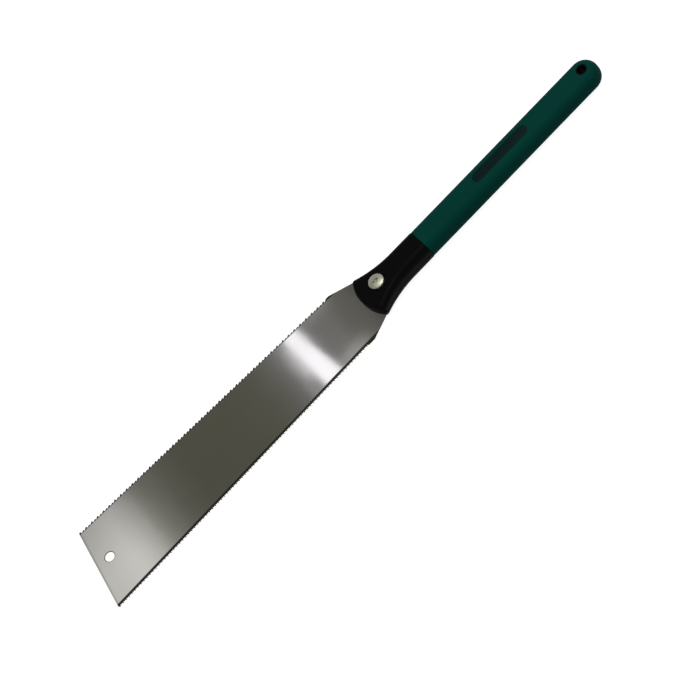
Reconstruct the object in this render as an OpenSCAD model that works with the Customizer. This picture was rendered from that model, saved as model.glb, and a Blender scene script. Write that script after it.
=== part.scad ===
// Double-edged pull saw with a clamped blade, a two-part core and a soft grip.
// Lengths are in millimetres. In the pieces' own drawing the clamp screw stands at x = 0, the handle
// runs to +X, the ripping teeth are on +Y and the blade's middle plane is z = 0.

/* [Blade] */
// Clamp screw to the tip of the toe
blade_reach = 307.5; // [240:0.5:380]
// Thickness of the plate
blade_t = 0.6; // [0.4:0.05:0.9]
// Clamp screw to the heel, where the teeth begin
heel_x = 31.6; // [28:0.1:45]
// Half width at the heel
heel_half = 29.8; // [27:0.5:38]
// Half width at the toe, ripping side
toe_rip = 43.6; // [32:0.5:50]
// Half width at the toe, crosscut side
toe_cross = 33; // [28:0.5:40]
// Slant of the toe edge, in degrees
toe_slant = 13.5; // [5:0.5:20]
// Radius of the two toe corners
toe_r = 1.6; // [0.8:0.1:3]
// Pitch of the ripping teeth
rip_pitch = 3; // [2.4:0.1:5]
// Depth of the ripping teeth
rip_depth = 1.7; // [1:0.1:2.2]
// Pitch of the crosscut teeth
cross_pitch = 1.6; // [1.4:0.1:2.4]
// Depth of the crosscut teeth
cross_depth = 1.4; // [0.8:0.1:1.8]
// Diameter of the hanging hole in the toe
toe_hole_d = 8; // [5:0.5:10]
// Toe tip to the hanging hole, along the blade
toe_hole_x = 22.3; // [18:0.1:30]
// Offset of the hanging hole to the ripping side
toe_hole_y = 6.9; // [0:0.1:10]
// Half width of the tang inside the head
tang_half = 9.5; // [8:0.5:10.5]
// Clamp screw to the end of the tang
tang_len = 22; // [14:0.5:26]

/* [Head] */
// Clamp screw to the nose of the head
nose = 18.5; // [15:0.5:22]
// Radius of the nose seen from above
nose_r = 33; // [28:0.5:45]
// Thickness of the head at the nose
nose_t = 11.6; // [10.5:0.1:14]
// Edge radius of the head at the nose
nose_edge_r = 4.6; // [3:0.1:5]
// Height of the nose's upright rim
nose_rim = 3.2; // [2:0.1:6]
// Lean of the nose above and below that rim, in degrees
nose_lean = 28; // [0:1:35]
// Radius of the hollow flank
flare_r = 80; // [72:1:110]
// Clamp screw to the end of the hollow flank
flare_end = 24.2; // [18:0.2:30]
// Clamp screw to the front of the soft grip
head_len = 44.4; // [36:0.2:55]
// Width of the head where it meets the grip
head_w = 24.6; // [22:0.2:30]
// Thickness of the head where it meets the grip
head_t = 18; // [16.4:0.2:18.4]
// Edge radius of the head where it meets the grip
head_edge_r = 7; // [5:0.2:8]
// How far the shoulder of the blade lies behind the corners of the nose
shoulder_inset = 1; // [0.4:0.1:2]
// How far the shoulder of the blade stands out of the flanks
shoulder_proud = 1; // [0:0.1:2]

/* [Grip] */
// Length of the grip
grip_len = 186.9; // [150:0.1:240]
// Width of the grip
grip_w = 24.4; // [22:0.2:32]
// Thickness of the grip
grip_t = 18.4; // [17:0.2:23]
// Edge radius of the grip
grip_r = 7.6; // [6.6:0.2:8.4]
// Wall of the soft sleeve
sleeve_wall = 2.5; // [2:0.1:3]
// Length of the blank oval plate
inlay_len = 56.5; // [40:0.5:70]
// Width of the blank oval plate
inlay_w = 9.2; // [6:0.1:9.6]
// Thickness of the blank oval plate
inlay_t = 1.1; // [0.6:0.1:1.5]
// Front of the grip to the middle of the oval plate
inlay_from_front = 88.2; // [60:0.1:120]
// Diameter of the hanging hole in the handle
hang_d = 6.8; // [5:0.2:9]
// Wall of the tube around that hole
hang_wall = 0.9; // [0.7:0.1:2]
// End of the handle to the hanging hole
hang_from_end = 11.2; // [10:0.2:20]

/* [Core] */
// Wall of the core around its hollows
core_wall = 2.6; // [2:0.1:3]
// Length of the solid webs that take the core screws
web_len = 10; // [8:0.5:14]
// Front of the grip to the first core screw
first_core_screw = 15.6; // [12:0.2:30]
// Last core screw to the hanging hole
last_core_screw = 16; // [14:0.5:24]
// Thread diameter of the core screws
core_screw_d = 3; // [2.5:0.5:3.5]
// Head diameter of the core screws
core_screw_head_d = 5.6; // [5:0.1:7]
// Head height of the core screws
core_screw_head_h = 1.9; // [1.4:0.1:2.4]

/* [Clamp] */
// Diameter of the clamp screw's shank
screw_d = 6; // [5:0.5:7]
// Diameter of the clamp screw's head
screw_head_d = 12.6; // [11:0.2:13.6]
// Height of the clamp screw's head
screw_head_h = 3.2; // [2.4:0.1:4]
// Height of the head's straight rim
screw_rim_h = 1.9; // [0.6:0.1:2.2]
// Width of the cross recess
recess_w = 1.5; // [1:0.1:2]
// Length of the cross recess
recess_len = 6.4; // [5:0.2:8]
// Depth of the cross recess
recess_depth = 1.6; // [1:0.1:2]
// Diameter of the washer
washer_d = 12; // [10:0.1:14]
// Thickness of the washer
washer_t = 1; // [0.6:0.1:1.6]
// Depth of the washer's seat in the head
seat_depth = 0.8; // [0.7:0.1:1.2]
// Width across the flats of the nut
nut_af = 10; // [9:0.5:11]
// Height of the nut
nut_h = 3.6; // [3:0.1:4]
// How far the nut lies below the back of the head
nut_sink = 0.5; // [0.5:0.1:0.8]

/* [Fits] */
// Gap between the plate and each cheek of the head
cheek_gap = 0.1; // [0.05:0.01:0.2]
// Gap around the tang in its pocket, and at its end
tang_gap = 0.3; // [0.2:0.05:0.5]
// Radial gap of the clamp screw in the head and the tang
shank_gap = 0.3; // [0.2:0.05:0.5]
// Radial gap of a screw in its nut or pilot hole
thread_gap = 0.05; // [0.03:0.01:0.1]
// Gap between fixed pieces that sit in one another
seat_gap = 0.1; // [0.05:0.01:0.2]
// Gap under a screw head or a washer
face_gap = 0.02; // [0.01:0.01:0.05]

/* [Hidden] */
core_screw_count = 4;
$fn = 64;

steel = [0.72, 0.72, 0.69];
plated = [0.78, 0.78, 0.74];
black = [0.07, 0.07, 0.07];
green = [0.03, 0.23, 0.20];
dark = [0.06, 0.13, 0.13];

// Overrun of a cut past the face it opens
cut = 1;
// Share of a tooth's pitch taken by its steep face
rip_face = 0.16;
cross_face = 0.34;
// Steps of a toe corner, of a head edge, along the head, and of closing in on the nose's corner
corner_steps = 6;
edge_steps = 8;
head_steps = 18;
closing_steps = 12;

handle_end = head_len + grip_len;
hang_x = handle_end - hang_from_end;
grip_round_x = handle_end - grip_w / 2;
inlay_x = head_len + inlay_from_front;
head_rear_x = head_len - seat_gap;

// Half width, half thickness and edge radius of the head at a place along it
function head_half_w(x) = x >= flare_end ? head_w / 2
    : head_w / 2 + flare_r - sqrt(pow(flare_r, 2) - pow(flare_end - x, 2));
function along_head(x) = (x + nose) / (head_rear_x + nose);
function head_half_t(x) = (head_t - (head_t - nose_t) * pow(1 - along_head(x), 2)) / 2;
function edge_r(x) = nose_edge_r + along_head(x) * (head_edge_r - nose_edge_r);

// Place where the nose's arc meets the flank, closed in on step by step
function nose_corner(x, steps) = steps == 0 ? x
    : nose_corner(-nose + nose_r - sqrt(pow(nose_r, 2) - pow(head_half_w(x), 2)), steps - 1);
shoulder_x = nose_corner(-nose / 2, closing_steps) + shoulder_inset;
shoulder_half = head_half_w(shoulder_x) + shoulder_proud;

core_w = grip_w - 2 * (sleeve_wall + seat_gap);
core_t = grip_t - 2 * (sleeve_wall + seat_gap);
core_r = grip_r - sleeve_wall - seat_gap;
core_end = handle_end - sleeve_wall - seat_gap;
core_round_x = core_end - core_w / 2;
hang_tube_d = hang_d + 2 * hang_wall;

core_screw_from = head_len + first_core_screw;
core_screw_to = hang_x - last_core_screw;
function core_screw_x(i) = core_screw_from
    + (i - 1) * (core_screw_to - core_screw_from) / (core_screw_count - 1);
core_screw_seat = core_t / 2 - core_screw_head_h - seat_gap;
core_screw_tip = core_t / 2 - core_wall;

washer_z = head_half_t(0) - seat_depth + face_gap;
screw_head_z = washer_z + washer_t + face_gap;
nut_back_z = nut_sink - head_half_t(0);
nut_front_z = nut_back_z + nut_h;
screw_end_z = nut_back_z + nut_sink;
slot_half = screw_d / 2 + shank_gap;

// Corners of the blade before rounding
heel_rip_pt = [-heel_x, heel_half];
heel_cross_pt = [-heel_x, -heel_half];
toe_cross_pt = [-blade_reach, -toe_cross];
toe_rip_pt = [-blade_reach + (toe_rip + toe_cross) * tan(toe_slant), toe_rip];

function unit(v) = v / norm(v);
function turn_left(v) = [-v[1], v[0]];

// Points of a rounded corner p on the way from a to b, turning to the right
function rounded_corner(a, p, b, r) =
    let (u = unit(a - p), v = unit(b - p), half = acos(u * v) / 2)
    let (middle = p + unit(u + v) * r / sin(half), start = p + u * r / tan(half) - middle)
    [for (i = [0 : corner_steps]) let (turn = -i * (180 - 2 * half) / corner_steps)
        middle + start * cos(turn) + turn_left(start) * sin(turn)];

// Gullets and tips of a row of teeth from a to b, the plate being on the side of the normal
function tooth_row(a, b, pitch, depth, face, normal) =
    let (count = round(norm(b - a) / pitch), step = (b - a) / count)
    [for (i = [1 : count], tip = [0, 1])
        a + step * (tip == 1 ? i : i - face) + (tip == 1 ? 0 : depth) * normal];

toe_rip_corner = rounded_corner(toe_cross_pt, toe_rip_pt, heel_rip_pt, toe_r);
toe_cross_corner = rounded_corner(heel_cross_pt, toe_cross_pt, toe_rip_pt, toe_r);
rip_row = tooth_row(heel_rip_pt, toe_rip_corner[corner_steps], rip_pitch, rip_depth, rip_face,
    turn_left(unit(toe_rip_pt - heel_rip_pt)));
cross_row = tooth_row(heel_cross_pt, toe_cross_corner[0], cross_pitch, cross_depth, cross_face,
    -turn_left(unit(toe_cross_pt - heel_cross_pt)));

// Outline of the blade: heel to toe on the crosscut side, round the toe, and back on the ripping side
blade_pts = concat(
    [[tang_len, -tang_half], [shoulder_x, -tang_half], [shoulder_x, -shoulder_half], heel_cross_pt],
    cross_row,
    toe_cross_corner,
    toe_rip_corner,
    [for (i = [len(rip_row) - 1 : -1 : 0]) rip_row[i]],
    [heel_rip_pt, [shoulder_x, shoulder_half], [shoulder_x, tang_half], [tang_len, tang_half]]);

blade_x = [for (p = blade_pts) p[0]];
blade_y = [for (p = blade_pts) p[1]];
frame_shift = [-(min(blade_x) + handle_end) / 2, -(min(blade_y) + max(blade_y)) / 2, grip_t / 2];

// Moves a piece from its own drawing to the frame: middle of the saw, on the surface that it lies on
module placed() {
    translate(frame_shift)
        children();
}

// Extrudes a section drawn in y and z along +X
module along_x(from, to) {
    translate([from, 0, 0])
        rotate([90, 0, 90])
            linear_extrude(to - from)
                children();
}

module rounded_rect(w, h, r) {
    square([w - 2 * r, h], center = true);
    square([w, h - 2 * r], center = true);
    for (sx = [-1, 1], sy = [-1, 1])
        translate([sx * (w / 2 - r), sy * (h / 2 - r)])
            circle(r = r);
}

// A straight bar of rounded section with a half-round end seen from above
module round_ended_bar(from, round_x, w, h, r) {
    along_x(from, round_x)
        rounded_rect(w, h, r);
    translate([round_x, 0, 0])
        rotate([0, 0, -90])
            rotate_extrude(angle = 180)
                intersection() {
                    rounded_rect(w, h, r);
                    translate([0, -h / 2])
                        square([w, h]);
                }
}

// The front (side 1) or back (side -1) half of space
module half_space(side) {
    size = blade_reach + handle_end;
    translate([-size, -size, side > 0 ? 0 : -size])
        cube([2 * size, 2 * size, size]);
}

// One half section of the head, from the split plane over the face and back to the split plane
function half_ring(x, side) =
    let (w = head_half_w(x), t = head_half_t(x), r = edge_r(x))
    concat([[x, w, 0]],
        [for (i = [0 : edge_steps]) let (a = 90 * i / edge_steps)
            [x, w - r + r * cos(a), side * (t - r + r * sin(a))]],
        [for (i = [0 : edge_steps]) let (a = 90 * i / edge_steps)
            [x, -(w - r + r * sin(a)), side * (t - r + r * cos(a))]],
        [[x, -w, 0]]);

// One half of the head before it is cut at the nose
module head_blank(side) {
    rings = [for (i = [0 : head_steps]) half_ring(-nose + i * (head_rear_x + nose) / head_steps, side)];
    n = len(rings[0]);
    first_cap = [for (j = [n - 1 : -1 : 0]) j];
    last_cap = [for (j = [0 : n - 1]) head_steps * n + j];
    walls = [for (i = [0 : head_steps - 1], j = [0 : n - 1], part = [0, 1])
        let (a = i * n + j, b = i * n + (j + 1) % n, c = a + n, d = b + n)
        part == 0 ? [a, b, d] : [a, d, c]];
    faces = concat([first_cap, last_cap], walls);
    polyhedron([for (ring = rings, p = ring) p],
        side > 0 ? [for (f = faces) [for (j = [len(f) - 1 : -1 : 0]) f[j]]] : faces);
}

// The room that the nose leaves the head: a disc whose rim leans back above and below
module nose_disc() {
    lean_h = (grip_t - nose_rim) / 2;
    translate([nose_r - nose, 0, 0]) {
        translate([0, 0, -nose_rim / 2])
            cylinder(r = nose_r, h = nose_rim, $fn = 128);
        for (side = [0, 1])
            mirror([0, 0, side])
                translate([0, 0, nose_rim / 2])
                    cylinder(r1 = nose_r, r2 = nose_r - lean_h * tan(nose_lean), h = lean_h, $fn = 128);
    }
}

// One half of the head, with its round nose and a flat rear that meets the grip
module head_half(side) {
    intersection() {
        head_blank(side);
        union() {
            nose_disc();
            translate([nose_r - nose, -head_w, -grip_t])
                cube([head_rear_x, 2 * head_w, 2 * grip_t]);
        }
    }
}

// Pocket for the tang, open at the nose and the flanks in front of the shoulder
module tang_pocket() {
    depth = blade_t + 2 * cheek_gap;
    translate([-nose - cut, -heel_half, -depth / 2])
        cube([shoulder_x + tang_gap + nose + cut, 2 * heel_half, depth]);
    translate([shoulder_x, -tang_half - tang_gap, -depth / 2])
        cube([tang_len + tang_gap - shoulder_x, 2 * (tang_half + tang_gap), depth]);
}

// Hollows of the core, between the webs that take the core screws
module core_hollows() {
    w = core_w - 2 * core_wall;
    t = core_t - 2 * core_wall;
    for (i = [1 : core_screw_count - 1])
        translate([core_screw_x(i) + web_len / 2, -w / 2, -t / 2])
            cube([core_screw_x(i + 1) - core_screw_x(i) - web_len, w, t]);
}

// One half of the core: half of the head, half of the bar in the grip and half of the hanging tube
module core_half(side) {
    difference() {
        union() {
            head_half(side);
            intersection() {
                union() {
                    round_ended_bar(flare_end, core_round_x, core_w, core_t, core_r);
                    translate([hang_x, 0, -grip_t / 2])
                        cylinder(d = hang_tube_d, h = grip_t);
                }
                half_space(side);
            }
        }
        tang_pocket();
        core_hollows();
        translate([0, 0, -grip_t])
            cylinder(r = slot_half, h = 2 * grip_t);
        translate([hang_x, 0, -grip_t])
            cylinder(d = hang_d, h = 2 * grip_t);
    }
}

module front_core_shell() {
    color(black)
        placed()
            difference() {
                core_half(1);
                translate([0, 0, washer_z - face_gap])
                    cylinder(d = washer_d + 2 * shank_gap, h = grip_t);
                for (i = [1 : core_screw_count])
                    translate([core_screw_x(i), 0, -cut])
                        cylinder(d = core_screw_d + 2 * thread_gap, h = core_screw_tip + seat_gap + cut);
            }
}

module back_core_shell() {
    color(black)
        placed()
            difference() {
                core_half(-1);
                translate([0, 0, nut_front_z + face_gap - grip_t])
                    cylinder(d = (nut_af + 2 * seat_gap) / cos(30), h = grip_t, $fn = 6);
                for (i = [1 : core_screw_count])
                    translate([core_screw_x(i), 0, 0]) {
                        translate([0, 0, -core_t])
                            cylinder(d = core_screw_d + 2 * seat_gap, h = core_t + cut);
                        translate([0, 0, -core_t])
                            cylinder(d = core_screw_head_d + 2 * seat_gap, h = core_t - core_screw_seat);
                    }
            }
}

module oval(len, w) {
    square([len - w, w], center = true);
    for (side = [-1, 1])
        translate([side * (len - w) / 2, 0])
            circle(d = w);
}

module grip_sleeve() {
    gap = seat_gap;
    color(green)
        placed()
            difference() {
                round_ended_bar(head_len, grip_round_x, grip_w, grip_t, grip_r);
                round_ended_bar(head_len - cut, core_round_x, core_w + 2 * gap, core_t + 2 * gap, core_r + gap);
                translate([inlay_x, 0, grip_t / 2 - inlay_t - gap])
                    linear_extrude(grip_t)
                        oval(inlay_len + 2 * gap, inlay_w + 2 * gap);
                translate([hang_x, 0, -grip_t])
                    cylinder(d = hang_tube_d + 2 * gap, h = 2 * grip_t);
            }
}

module grip_inlay() {
    color(dark)
        placed()
            translate([inlay_x, 0, grip_t / 2 - inlay_t - face_gap])
                linear_extrude(inlay_t)
                    oval(inlay_len, inlay_w);
}

module saw_blade() {
    color(steel)
        placed()
            translate([0, 0, -blade_t / 2])
                linear_extrude(blade_t)
                    difference() {
                        polygon(blade_pts);
                        circle(r = slot_half);
                        translate([0, -slot_half])
                            square([tang_len + cut, 2 * slot_half]);
                        translate([toe_hole_x - blade_reach, toe_hole_y])
                            circle(d = toe_hole_d);
                    }
}

// Low domed head with a cross recess, and a plain shank in place of its thread
module clamp_screw() {
    dome_h = screw_head_h - screw_rim_h;
    dome_r = (pow(screw_head_d / 2, 2) + pow(dome_h, 2)) / (2 * dome_h);
    color(plated)
        placed() {
            difference() {
                union() {
                    translate([0, 0, screw_head_z])
                        cylinder(d = screw_head_d, h = screw_rim_h);
                    translate([0, 0, screw_head_z + screw_rim_h])
                        rotate_extrude()
                            intersection() {
                                translate([0, dome_h - dome_r])
                                    circle(r = dome_r);
                                square([screw_head_d / 2, dome_h]);
                            }
                }
                for (turn = [0, 90])
                    translate([0, 0, screw_head_z + screw_head_h - recess_depth])
                        rotate([0, 0, turn])
                            translate([-recess_len / 2, -recess_w / 2, 0])
                                cube([recess_len, recess_w, screw_head_h]);
            }
            translate([0, 0, screw_end_z])
                cylinder(d = screw_d, h = screw_head_z - screw_end_z);
        }
}

module clamp_washer() {
    color(plated)
        placed()
            translate([0, 0, washer_z])
                difference() {
                    cylinder(d = washer_d, h = washer_t);
                    translate([0, 0, -cut])
                        cylinder(d = screw_d + 2 * seat_gap, h = washer_t + 2 * cut);
                }
}

module clamp_nut() {
    color(plated)
        placed()
            translate([0, 0, nut_back_z])
                difference() {
                    cylinder(d = nut_af / cos(30), h = nut_h, $fn = 6);
                    translate([0, 0, -cut])
                        cylinder(d = screw_d + 2 * thread_gap, h = nut_h + 2 * cut);
                }
}

// Pan-head screw that joins the two halves of the core, put in from the back
module core_screw(i) {
    color(steel)
        placed()
            translate([core_screw_x(i), 0, 0]) {
                translate([0, 0, -core_screw_seat - core_screw_head_h - face_gap])
                    cylinder(d = core_screw_head_d, h = core_screw_head_h);
                translate([0, 0, -core_screw_seat - face_gap])
                    cylinder(d = core_screw_d, h = core_screw_seat + face_gap + core_screw_tip);
            }
}

saw_blade();
front_core_shell();
back_core_shell();
grip_sleeve();
grip_inlay();
clamp_screw();
clamp_washer();
clamp_nut();
core_screw(1);  // core_screw_1
core_screw(2);  // core_screw_2
core_screw(3);  // core_screw_3
core_screw(4);  // core_screw_4
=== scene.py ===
"""Dresses a double-edged pull saw: its pieces as fine meshes, their finishes, and the stage."""
import math

import bmesh
import bpy
from mathutils import Matrix, Quaternion, Vector
from mathutils.geometry import tessellate_polygon


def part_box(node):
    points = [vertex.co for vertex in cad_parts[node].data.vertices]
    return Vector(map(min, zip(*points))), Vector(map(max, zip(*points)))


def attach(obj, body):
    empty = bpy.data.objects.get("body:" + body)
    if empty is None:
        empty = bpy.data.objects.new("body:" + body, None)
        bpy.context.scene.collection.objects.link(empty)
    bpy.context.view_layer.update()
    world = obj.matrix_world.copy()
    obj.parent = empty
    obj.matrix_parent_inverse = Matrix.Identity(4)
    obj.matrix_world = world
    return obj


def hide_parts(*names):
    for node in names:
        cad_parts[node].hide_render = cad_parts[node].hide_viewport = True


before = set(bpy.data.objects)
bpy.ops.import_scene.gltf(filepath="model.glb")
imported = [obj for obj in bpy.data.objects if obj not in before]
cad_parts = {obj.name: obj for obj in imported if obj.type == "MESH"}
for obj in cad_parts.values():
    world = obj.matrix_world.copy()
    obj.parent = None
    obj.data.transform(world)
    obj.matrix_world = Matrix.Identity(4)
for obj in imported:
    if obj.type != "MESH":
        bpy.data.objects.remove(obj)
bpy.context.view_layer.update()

bl_info = {
    "name": "Pull saw",
    "version": (1, 0, 0),
    "blender": (4, 5, 0),
    "location": "3D View > Sidebar > Pull saw",
    "description": "Builds a double-edged pull saw and its stage around the packed frame",
    "category": "Object",
}

MM = 0.001
CORE_SCREWS = [f"core_screw_{i}" for i in range(1, 5)]


def span(node):
    """Size of a node's box in the frame, in millimetres"""
    low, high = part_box(node)
    return (high - low) / MM


def middle(node):
    """Middle of a node's box in the frame, in metres"""
    low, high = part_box(node)
    return (low + high) / 2


# Pieces are drawn with the clamp screw's axis at x = y = 0 and the blade's middle plane at z = 0
DATUM = Vector((*middle("clamp_screw").xy, middle("saw_blade").z))


def node_x(node):
    """Middle of a node along the saw, from the clamp screw's axis"""
    return middle(node).x - DATUM.x


def half_span(node, axis=0):
    """Half the size of a node's box along an axis, in metres"""
    return span(node)[axis] * MM / 2


def heights(node):
    """Bottom and top of a node's box, from the blade's middle plane"""
    return [corner.z - DATUM.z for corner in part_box(node)]


# Properties


def length(name, millimetres, description):
    """A length in metres, with its default given in millimetres"""
    return bpy.props.FloatProperty(
        name=name, description=description, default=millimetres * MM,
        precision=5, subtype="DISTANCE", unit="LENGTH")


def angle(name, degrees, description):
    """An angle in radians, with its default given in degrees"""
    return bpy.props.FloatProperty(
        name=name, description=description, default=math.radians(degrees), subtype="ANGLE", unit="ROTATION")


def colour(name, rgb, description):
    """A linear colour"""
    return bpy.props.FloatVectorProperty(
        name=name, description=description, default=rgb, size=3, min=0.0, max=1.0, subtype="COLOR")


def share(name, value, description):
    """A plain number from 0 up"""
    return bpy.props.FloatProperty(
        name=name, description=description, default=value, min=0.0, subtype="FACTOR")


def group(kind, name, description):
    """A group of settings"""
    return bpy.props.PointerProperty(type=kind, name=name, description=description)


class BladeSizes(bpy.types.PropertyGroup):
    """Sizes of the toothed plate"""

    thickness: length("Thickness", span("saw_blade").z, "Thickness of the plate")
    reach: length("Reach", 307.5, "Clamp screw to the tip of the toe")
    heel: length("Heel", 31.6, "Clamp screw to the heel, where the teeth begin")
    heel_half: length("Heel half width", 29.8, "Half width at the heel")
    toe_rip: length("Toe, ripping side", 43.6, "Half width at the toe on the ripping side")
    toe_cross: length("Toe, crosscut side", 33, "Half width at the toe on the crosscut side")
    toe_slant: angle("Toe slant", 13.5, "Slant of the toe edge")
    toe_round: length("Toe corners", 1.6, "Radius of the two toe corners")
    rip_pitch: length("Ripping pitch", 3, "Pitch of the ripping teeth")
    rip_depth: length("Ripping depth", 1.7, "Depth of the ripping teeth")
    cross_pitch: length("Crosscut pitch", 1.6, "Pitch of the crosscut teeth")
    cross_depth: length("Crosscut depth", 1.4, "Depth of the crosscut teeth")
    rip_land: length("Ripping land", 3, "Plain edge between the heel and the first ripping tooth")
    cross_land: length("Crosscut land", 6.4, "Plain edge between the heel and the first crosscut tooth")
    tooth_set: length("Set", 0.2, "How far the tips are bent out, to alternate sides")
    hole_d: length("Hole", 8, "Diameter of the hanging hole in the toe")
    hole_chamfer: length("Hole chamfer", 0.55, "Width of the hanging hole's chamfers")
    hole_land: length("Hole land", 0.04, "Height of the wall between the hanging hole's chamfers")
    hole_x: length("Hole from the tip", 22.3, "Toe tip to the hanging hole, along the blade")
    hole_y: length("Hole offset", 6.9, "Offset of the hanging hole to the ripping side")
    tang_half: length("Tang half width", 9.5, "Half width of the tang inside the head")
    tang_len: length("Tang length", 22, "Clamp screw to the end of the tang")


class HeadSizes(bpy.types.PropertyGroup):
    """Sizes of the black head and its core"""

    nose: length("Nose", 18.5, "Clamp screw to the nose of the head")
    nose_radius: length("Nose radius", 33, "Radius of the nose seen from above")
    nose_t: length("Nose thickness", 11.6, "Thickness of the head at the nose")
    nose_edge: length("Nose edge", 4.6, "Edge radius of the head at the nose")
    nose_round: length("Nose round", 2.4, "Rounding of the rim around the nose")
    flare_radius: length("Flank radius", 80, "Radius of the hollow flank")
    flare_end: length("Flank end", 24.2, "Clamp screw to the end of the hollow flank")
    reach: length("Reach", 44.4, "Clamp screw to the front of the soft grip")
    width: length("Width", 24.6, "Width of the head where it meets the grip")
    thickness: length("Thickness", 18, "Thickness of the head where it meets the grip")
    edge: length("Edge", 7, "Edge radius of the head where it meets the grip")
    shoulder_inset: length("Shoulder inset", 1, "How far the blade's shoulder lies behind the nose corners")
    shoulder_proud: length("Shoulder proud", 1, "How far the blade's shoulder stands out of the flanks")
    seam: length("Seam", 0.12, "Chamfer where the two halves meet")
    slot_gap: length("Slot gap", 0.1, "Gap between the plate and each cheek")
    tang_gap: length("Tang gap", 0.3, "Gap around the tang and the clamp screw")
    core_wall: length("Core wall", 2.6, "Wall of the core around its hollows")
    web: length("Webs", 10, "Length of the solid webs that take the core screws")


class GripSizes(bpy.types.PropertyGroup):
    """Sizes of the soft sleeve and the oval plate"""

    width: length("Width", span("grip_sleeve").y, "Width of the grip")
    thickness: length("Thickness", span("grip_sleeve").z, "Thickness of the grip")
    edge: length("Edge", 7.6, "Edge radius of the grip")
    lip: length("Lip", 0.7, "Rounding of the front edge and of the hole's rim")
    wall: length("Wall", 2.5, "Wall of the sleeve")
    seat_gap: length("Seat gap", 0.1, "Gap between fixed pieces that sit in one another")
    plate_edge: length("Plate edge", 0.25, "Rounding of the oval plate's rim")
    hole_d: length("Hole", 6.8, "Diameter of the hanging hole")
    hole_wall: length("Hole wall", 0.9, "Wall of the tube around the hanging hole")
    hole_from_end: length("Hole from the end", 11.2, "End of the handle to the hanging hole")


class ClampSizes(bpy.types.PropertyGroup):
    """Sizes of the screw, washer and nut that clamp the blade, and of the core screws"""

    screw_d: length("Screw", 6, "Thread diameter of the clamp screw")
    pitch: length("Pitch", 1, "Thread pitch of the clamp screw")
    thread_depth: length("Thread depth", 0.5, "Depth of the clamp screw's thread")
    head_h: length("Head height", 3.2, "Height of the clamp screw's head")
    rim_h: length("Rim height", 1.9, "Height of the head's straight rim")
    recess_len: length("Recess length", 6.4, "Length of the cross recess")
    recess_w: length("Recess width", 1.5, "Width of the cross recess")
    recess_depth: length("Recess depth", 1.6, "Depth of the cross recess")
    chamfer: length("Chamfer", 0.18, "Chamfer of turned edges")
    washer_gap: length("Washer gap", 0.1, "Gap between the washer and the screw")
    nut_gap: length("Nut gap", 0.05, "Gap between the nut and the screw")
    core_d: length("Core screw", 3, "Thread diameter of the core screws")
    core_pitch: length("Core pitch", 1.1, "Thread pitch of the core screws")
    core_thread: length("Core thread depth", 0.45, "Depth of the core screws' thread")
    core_head_h: length("Core head height", 1.9, "Height of the core screws' heads")
    core_recess: length("Core recess", 3.4, "Length of the core screws' cross recess")


class Finishes(bpy.types.PropertyGroup):
    """Colours of the finishes"""

    blade: colour("Blade", (0.56, 0.545, 0.51), "Ground steel of the plate")
    # The teeth's colour also paints the plate's cut walls and the hole's chamfers dark, as painted shade
    teeth: colour("Teeth", (0.035, 0.032, 0.026), "Hardened steel of the teeth")
    nylon: colour("Black plastic", (0.0020, 0.0020, 0.0021), "Moulded plastic of the head")
    rubber: colour("Green rubber", (0.0008, 0.040, 0.031), "Soft rubber of the grip")
    plate: colour("Oval plate", (0.0018, 0.0125, 0.0122), "Satin plastic of the oval plate")
    plating: colour("Plating", (0.50, 0.49, 0.39), "Nickel on the clamp screw, washer and nut")
    zinc: colour("Zinc", (0.60, 0.60, 0.55), "Zinc on the core screws")


class StageSettings(bpy.types.PropertyGroup):
    """Camera, light and floor"""

    azimuth: angle("Azimuth", -2.556, "Turn of the camera round the saw; 0 looks along +Y")
    elevation: angle("Elevation", 51.775, "Height of the camera above the horizon")
    roll: angle("Roll", -43.936, "Roll of the camera")
    aim_x: length("Aim X", -11.86, "Point in the middle of the picture, along X")
    aim_y: length("Aim Y", -11.16, "Point in the middle of the picture, along Y")
    aim_z: length("Aim Z", -9.20, "Point in the middle of the picture, along Z")
    distance: length("Distance", 6000, "Camera to that point")
    picture: length("Picture width", 522.9, "Width of the view at that point")
    card_height: length("Card height", 320, "Height of the overhead card above the blade")
    card_depth: length("Card depth", 400, "Size of the overhead card across the blade")
    card_slant: share("Card slant", 0.08, "Slant of the card's pattern across the blade")
    floor_size: length("Floor", 80000, "Size of the floor")
    ambient: share("Ambient", 0.5, "Strength of the light from all round")
    strip: share("Strip", 2.0, "Strength of the bright strip that the blade mirrors near its heel")
    strip_tint: colour("Strip tint", (0.91, 0.92, 1.0), "Colour of the bright strip")
    key: share("Key", 6.4, "Power of the soft lamp, in watts")
    shadow: share("Shadow", 0.3, "Share of the floor's white that the object can shade")


class SawSettings(bpy.types.PropertyGroup):
    """All that a user may change"""

    blade: group(BladeSizes, "Blade", "Sizes of the blade")
    head: group(HeadSizes, "Head", "Sizes of the head and core")
    grip: group(GripSizes, "Grip", "Sizes of the grip")
    clamp: group(ClampSizes, "Clamp", "Sizes of the fasteners")
    finish: group(Finishes, "Finishes", "Colours of the finishes")
    stage: group(StageSettings, "Stage", "Camera and light")


# Mesh tools

# Points nearer than the first distance are joined, and edges shorter than the second are dropped
JOIN_GAP = 0.002 * MM
SLIVER = 0.001 * MM
# Edges that turn more than this stay sharp
SHARP_EDGE = math.radians(32)
# Points round most circles, the washer and its seat, the core screws and the toe's hole, and small bores
ROUND_STEPS = 64
WASHER_STEPS = 96
SMALL_STEPS = 48
BORE_STEPS = 32
# Rings in one pitch of a thread, and how steeply its flanks rise
THREAD_RINGS = 8
FLANK_RISE = 2.7
# Share of a cross recess's length that is left at its bottom
RECESS_TAPER = 0.45


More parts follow.
